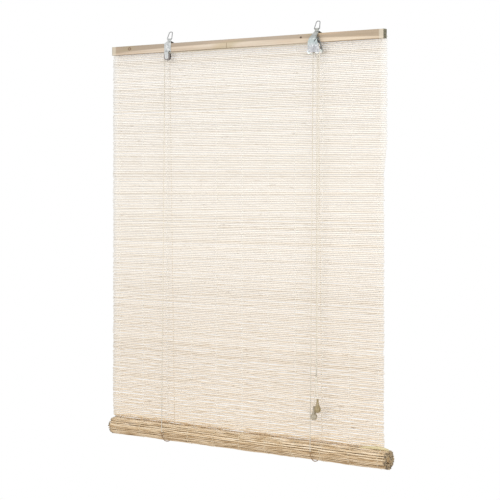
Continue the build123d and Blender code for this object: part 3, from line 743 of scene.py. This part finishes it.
def slat_drift(tree, given):
    """How far each ring of a slat wanders: each slat reads its own lane of a noise."""
    corner = add_node(tree, "GeometryNodeInputPosition")
    place = add_node(tree, "ShaderNodeSeparateXYZ", {0: corner}).outputs
    below = add_node(tree, MATH, {0: LOOSE_BELOW, 1: place["Z"]}, operation="SUBTRACT")
    below = add_node(tree, MATH, {0: below, 1: 0.0}, operation="MAXIMUM")
    growth = add_node(tree, MATH, {0: below, 1: LOOSENESS}, operation="MULTIPLY")
    growth = add_node(tree, MATH, {0: growth, 1: 1.0}, operation="ADD")
    wander = add_node(tree, MATH, {0: given["Wander"], 1: growth}, operation="MULTIPLY")
    tone = add_node(tree, "GeometryNodeInputNamedAttribute", {"Name": "tone"}, data_type="FLOAT")
    lane = add_node(tree, MATH, {0: tone, 1: LANES}, operation="MULTIPLY")
    along = add_node(tree, MATH, {0: place["X"], 1: given["Wander Scale"]}, operation="MULTIPLY")
    where = add_node(tree, VECTOR, {0: along, 1: lane})
    noise = add_node(tree, "ShaderNodeTexNoise", {"Vector": where, "Scale": 1.0, "Detail": 1.5})
    centred = add_node(tree, "ShaderNodeVectorMath", {0: noise.outputs["Color"], 1: (0.5, 0.5, 0.5)},
                       operation="SUBTRACT")
    upright = add_node(tree, MATH, {0: wander, 1: UPRIGHT_WANDER}, operation="MULTIPLY")
    amount = add_node(tree, VECTOR, {1: wander, 2: upright})
    return add_node(tree, "ShaderNodeVectorMath", {0: centred, 1: amount}, operation="MULTIPLY")


# %% Stitches in the tree
def tie_slats(tree, given, line, turn, chance):
    """A row of stitches at each slat, turned over at every second one, so that the threads cross."""
    stitch = add_node(tree, "GeometryNodeObjectInfo", {"Object": given["Stitch"]}).outputs["Geometry"]
    gaps = add_node(tree, MATH, {0: given["Stitch Columns"], 1: 1.0}, operation="SUBTRACT")
    width = add_node(tree, MATH, {0: gaps, 1: given["Stitch Spacing"]}, operation="MULTIPLY")
    half = add_node(tree, MATH, {0: width, 1: -0.5}, operation="MULTIPLY")
    start = add_node(tree, VECTOR, {0: half})
    step = add_node(tree, VECTOR, {0: given["Stitch Spacing"]})
    row = add_node(tree, "GeometryNodeMeshLine",
                   {"Count": given["Stitch Columns"], "Start Location": start, "Offset": step})
    row = add_node(tree, "GeometryNodeInstanceOnPoints", {"Points": row, "Instance": stitch})
    row = add_node(tree, "GeometryNodeRealizeInstances", {"Geometry": row})
    index = add_node(tree, "GeometryNodeInputIndex")
    tied = add_node(tree, "FunctionNodeCompare", {2: index, 3: given["Stitched Slats"]},
                    data_type="INT", operation="LESS_THAN")
    rows = add_node(tree, "GeometryNodeInstanceOnPoints",
                    {"Points": line, "Selection": tied, "Instance": row, "Rotation": turn})
    odd = add_node(tree, MATH, {0: index, 1: 2.0}, operation="MODULO")
    over = add_node(tree, MATH, {0: odd, 1: pi}, operation="MULTIPLY")
    flip = add_node(tree, VECTOR, {0: over})
    rows = add_node(tree, "GeometryNodeRotateInstances", {"Instances": rows, "Rotation": flip})
    jitter = add_node(tree, VECTOR, {0: chance["stitch"]})
    rows = add_node(tree, "GeometryNodeTranslateInstances", {"Instances": rows, "Translation": jitter})
    rows = add_node(tree, "GeometryNodeRealizeInstances", {"Geometry": rows})
    return add_node(tree, "GeometryNodeSetMaterial",
                    {"Geometry": rows, "Material": given["Thread Material"]})


# %% The slat tree
def woven_tree():
    """Geometry nodes: slats on a profile line, tied by stitches, as one plain mesh."""
    tree = bpy.data.node_groups.new("woven_slats", "GeometryNodeTree")
    for label, kind, default in TREE_INPUTS:
        socket = tree.interface.new_socket(name=label, in_out="INPUT", socket_type="NodeSocket" + kind)
        if default is not None:
            socket.default_value = default
    tree.interface.new_socket(name="Geometry", in_out="OUTPUT", socket_type="NodeSocketGeometry")
    given = add_node(tree, "NodeGroupInput").outputs
    line = add_node(tree, "GeometryNodeMeshToCurve", {"Mesh": given["Geometry"]})
    line = add_node(tree, "GeometryNodeResampleCurve", {"Curve": line, "Count": given["Slats"]})
    tangent = add_node(tree, "GeometryNodeInputTangent")
    turn = add_node(tree, "FunctionNodeAlignRotationToVector", {"Vector": tangent},
                    axis="Z", pivot_axis="X")
    chance = {}
    for number, (label, low, high) in enumerate(CHANCES, start=1):
        seed = add_node(tree, MATH, {0: given["Seed"], 1: number}, operation="ADD")
        chance[label] = add_node(tree, "FunctionNodeRandomValue", {"Seed": seed, 2: low, 3: high},
                                 data_type="FLOAT").outputs[1]
    slats = lay_slats(tree, given, line, turn, chance)
    rows = tie_slats(tree, given, line, turn, chance)
    both = add_node(tree, "GeometryNodeJoinGeometry")
    tree.links.new(slats.outputs[0], both.inputs[0])
    tree.links.new(rows.outputs[0], both.inputs[0])
    add_node(tree, "NodeGroupOutput", {0: both})
    return tree


slat_tree = woven_tree()
print("slat tree nodes", len(slat_tree.nodes))


# %% Stitch and woven pieces
# How far a thread's middle lies off the slat, as a share of the thread, which sinks in a little
THREAD_LIFT = 0.8


def stitch_object(pitch, thickness, thread, apart):
    """Two warp threads at one slat: one passes in front of it and the other behind."""
    reach = thickness / 2 + thread * THREAD_LIFT
    verts, faces = [], []
    for side in (-1, 1):
        line = [(0, pitch / 2), (side * reach, pitch / 4), (side * reach, -pitch / 4), (0, -pitch / 2)]
        for i, (y, z) in enumerate(line):
            base = len(verts)
            for k in range(4):
                angle = pi / 4 + pi * k / 2
                verts.append((side * apart / 2 + thread * cos(angle), y + thread * sin(angle), z))
            if i:
                for k in range(4):
                    n = (k + 1) % 4
                    faces.append((base - 4 + k, base + k, base + n, base - 4 + n))
    return mesh_object("stitch", verts, faces)


def woven_piece(name, profile, **inputs):
    """A plain mesh from the slat tree on a profile line given as (y, z) points."""
    mesh = bpy.data.meshes.new(name)
    verts = [(0, y, z) for y, z in profile]
    mesh.from_pydata(verts, [(i, i + 1) for i in range(len(verts) - 1)], [])
    maker = new_object(name + "_maker", mesh)
    modifier = maker.modifiers.new("slats", "NODES")
    modifier.node_group = slat_tree
    sockets = [item for item in slat_tree.interface.items_tree if item.in_out == "INPUT"]
    identifiers = {item.name: item.identifier for item in sockets}
    for label, value in inputs.items():
        modifier[identifiers[label.replace("_", " ")]] = value
    bpy.context.view_layer.update()
    graph = bpy.context.evaluated_depsgraph_get()
    plain = bpy.data.meshes.new_from_object(maker.evaluated_get(graph))
    bpy.data.objects.remove(maker)
    plain.name = name
    plain.shade_smooth()
    return new_object(name, plain)


# %% [markdown]
# The mat's profile follows the CAD's: straight down behind the rail, then an arc back to the roll. The
# visible roll hangs 2 mm lower on its rod and is 2 mm slimmer than the CAD's plain one, so that its lower
# edge stays where it is.

# %% Profile of the mat
SLAT_PITCH = 4.2 * MM
MAT_Y = 7.4 * MM
MAT_TOP = -1.0 * MM
RAIL_BOTTOM = -21.5 * MM
ROLL_Y, ROLL_Z, ROLL_RADIUS = 10.0 * MM, -961.5 * MM, 22.3 * MM
LANDING = radians(74)
LANDING_GAP = 0.3 * MM
HALF_SLAT = 0.9 * MM
LANDING_RADIUS = ROLL_RADIUS + LANDING_GAP + HALF_SLAT
BEND = (ROLL_Y + LANDING_RADIUS * cos(LANDING) - MAT_Y) / (1 - cos(LANDING))
BEND_START = ROLL_Z + (LANDING_RADIUS + BEND) * sin(LANDING)
STRAIGHT = MAT_TOP - BEND_START
MAT_RUN = STRAIGHT + BEND * LANDING
slat_total = round(MAT_RUN / SLAT_PITCH)
pitch = MAT_RUN / slat_total


def mat_point(along):
    """The (y, z) point at a distance down the mat's middle line."""
    angle = max(0.0, (along - STRAIGHT) / BEND)
    return MAT_Y + BEND * (1 - cos(angle)), MAT_TOP - min(along, STRAIGHT) - BEND * sin(angle)


def drop_at(share):
    """The height at a share of the way from the rail's lower edge to the roll."""
    return RAIL_BOTTOM + share * (mat_point(MAT_RUN)[1] - RAIL_BOTTOM)


def slats_above(z):
    """How many slats lie above a height."""
    return sum(1 for i in range(slat_total) if mat_point((i + 0.5) * pitch)[1] > z)


print("slats", slat_total, "pitch", round(pitch, 5))

# %% [markdown]
# The mat must shorten as the roll rises. One piece that blends from the rail's motion to the roll's would
# bunch up at its middle, because a blend is slow at both ends. So the mat is three bands, each with its
# own span in BLENDS, whose heights the script works out but puts to no use. The right edge of the real mat
# draws in below its upper quarter, and the slats' right halves follow it.

# %% Mat
MAT_LEFT, MAT_RIGHT = -408 * MM, 400 * MM
EDGE_DRAW, DRAW_TOP, DRAW_HEIGHT = 8 * MM, -240 * MM, 100 * MM
DRAW_X, DRAW_WIDTH = 100 * MM, 300 * MM
BAND_CUTS = (0.2, 0.8)
BLENDS = {"top": (0.0, 2 / 3), "middle": (-0.25, 1.25), "bottom": (1 / 3, 1.0)}


def share_of(value, width):
    """How far a value has come over a width, from 0 to 1."""
    return min(max(value / width, 0.0), 1.0)


def edge_draw(z):
    """How far the mat's right edge draws in at a height."""
    share = share_of(DRAW_TOP - z, DRAW_HEIGHT)
    return EDGE_DRAW * share * share * (3 - 2 * share)


stitch = stitch_object(pitch, thickness=1.7 * MM, thread=0.42 * MM, apart=3.4 * MM)
cuts = [0, *(slats_above(drop_at(share)) for share in BAND_CUTS), slat_total]
for number, (label, first, last) in enumerate(zip(BLENDS, cuts, cuts[1:])):
    profile = [mat_point((i + 0.5) * pitch) for i in range(first, last)]
    piece = woven_piece("mat_" + label, profile, Slats=last - first, Length=MAT_RIGHT - MAT_LEFT,
                        Centre_X=(MAT_RIGHT + MAT_LEFT) / 2, Slat_Width=3.7 * MM, Slat_Thickness=1.6 * MM,
                        Segments=56, Wander=0.3 * MM, Wander_Scale=24.0, Slant=0.0005,
                        Edge_Spread=1.6 * MM, Seed=11 + 20 * number, Stitch=stitch,
                        Slat_Material=mat_bamboo, Thread_Material=warp_cotton)
    for vertex in piece.data.vertices:
        vertex.co.x -= edge_draw(vertex.co.z) * share_of(vertex.co.x - DRAW_X, DRAW_WIDTH)
    start, end = (drop_at(share) for share in BLENDS[label])
    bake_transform(piece)
    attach(piece, "rail")
    print(piece.name, last - first, "slats", len(piece.data.polygons), "faces")
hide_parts("mat")
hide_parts("mat_lower_bend")

# %% [markdown]
# ## Roll
# The rolled part of the mat follows one spiral inwards from where the hanging part lands. The same tree
# lays its slats, because it is the same mat. Rings of slats would be easier, but the real roll shows at
# its ends how the turns run into each other.

# %% Roll of slats
TURN_PITCH = 2.8 * MM
ROD_RADIUS = 6.3 * MM
ROD_MARGIN = 3.4 * MM
SPIRAL_STEP = 0.05
ROLL_LEFT, ROLL_RIGHT = -409 * MM, 404.5 * MM
spiral, angle, run = [], LANDING, 0.0
spiral_radius = ROLL_RADIUS - HALF_SLAT
while spiral_radius > ROD_RADIUS + ROD_MARGIN:
    spiral.append((ROLL_Y + spiral_radius * cos(angle), ROLL_Z + spiral_radius * sin(angle)))
    angle -= SPIRAL_STEP
    run += SPIRAL_STEP * spiral_radius
    spiral_radius -= TURN_PITCH * SPIRAL_STEP / (2 * pi)
roll_slats = round(run / SLAT_PITCH)
roll_stitch = stitch_object(SLAT_PITCH, thickness=2.1 * MM, thread=0.5 * MM, apart=3.4 * MM)
roll = woven_piece("roll_slats", spiral, Slats=roll_slats, Length=ROLL_RIGHT - ROLL_LEFT,
                   Centre_X=(ROLL_RIGHT + ROLL_LEFT) / 2, Slat_Width=3.8 * MM, Slat_Thickness=2.0 * MM,
                   Segments=80, Wander=0.24 * MM, Wander_Scale=26.0, Slant=0.003, Edge_Spread=0.9 * MM,
                   Seed=91, Stitch=roll_stitch, Stitched_Slats=36, Slat_Material=roll_bamboo,
                   Thread_Material=yellowed_cotton)
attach(roll, "roll")
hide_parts("roll_turns")
print("roll", roll_slats, "slats", len(roll.data.polygons), "faces")
for helper in (stitch, roll_stitch):
    bpy.data.objects.remove(helper)

# %% [markdown]
# One thick lath has slipped out of its place and lies in the fold over the right end of the roll. It
# swells and thins along its length, so it is a swept bar with its own radius at each point, pressed flat.

# %% Loose lath
LATH_Y = 8.5 * MM
LATH_FLATNESS = 0.38
lath_line = [(0.326, LATH_Y, -0.9405), (0.340, LATH_Y, -0.9390), (0.356, LATH_Y, -0.9375),
             (0.376, LATH_Y, -0.9370), (0.392, LATH_Y, -0.9375), (0.404, LATH_Y, -0.9392)]
lath = sweep("loose_lath", lath_line, [r * MM for r in (0.8, 2.2, 3.5, 3.9, 3.4, 2.2)])
for vertex in lath.data.vertices:
    vertex.co.y = LATH_Y + (vertex.co.y - LATH_Y) * LATH_FLATNESS
lath.data.materials.append(lath_bamboo)
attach(lath, "carriage")
print("loose lath is in place")

# %% [markdown]
# ## Lift cords
# Two cords run down in front of the mat, under the roll and up again behind it. Each strand is straight,
# and on the real blind it shortens as the roll rises. Here it has points at its ends only, and the whole
# strand is attached to the rail.

# %% Lift cord strands
lift_strands = {
    "lift_left_front": ((-0.2246, -0.0101, -0.033), (-0.2301, -0.0156, -0.9592)),
    "lift_left_back": ((-0.2246, 0.0095, -0.013), (-0.2301, 0.0356, -0.9592)),
    "lift_right_front": ((0.215, -0.0111, -0.0295), (0.2095, -0.0156, -0.9592)),
    "lift_right_back": ((0.215, 0.0095, -0.013), (0.2095, 0.0356, -0.9592)),
}
for name, (top, end) in lift_strands.items():
    piece = sweep(name + "_braid", [top, end], [CORD_RADIUS] * 2)
    piece.data.materials.append(braided_cord)
    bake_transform(piece)
    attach(piece, "rail")
    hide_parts(name)
print("lift cord strands", len(lift_strands))

# %% [markdown]
# ## Finishes of the CAD parts
# The rail, the rod, the hangers and their small parts have the right shape as they come. New meshes would
# only lose the exact edges of the CAD, so these parts keep their mesh and get a material each.

# %% Materials of the CAD nodes
finishes = {
    planed_pine: ["headrail"],
    dowel_wood: ["bottom_rod"],
    zinc_sheet: ["hanger_left", "lock_inner_plate", "sheave_strap"],
    zinc_with_painted_light: ["hanger_right"],
    bright_steel: ["rivet_left", "screw_left", "screw_right", "lock_rivets"],
    bail_wire: ["bail_left", "bail_right"],
    dark_steel: ["lock_roller"],
    shaded_steel: ["sheave_left"],
    staple_steel: ["mat_staples", "anchor_staples"],
    white_nylon: ["sheave_lift", "sheave_cross", "guide_roller_left", "guide_roller_right"],
    braided_cord: ["cross_cord", "lift_cord_bend"],
    under_roll_cord: ["cradle_left", "cradle_right"],
    yellow_tassel: ["tassel_upper"],
    grey_tassel: ["tassel_lower"],
}
for material, names in finishes.items():
    for name in names:
        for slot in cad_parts[name].material_slots:
            slot.material = material
print("finished", sum(len(names) for names in finishes.values()), "CAD nodes")
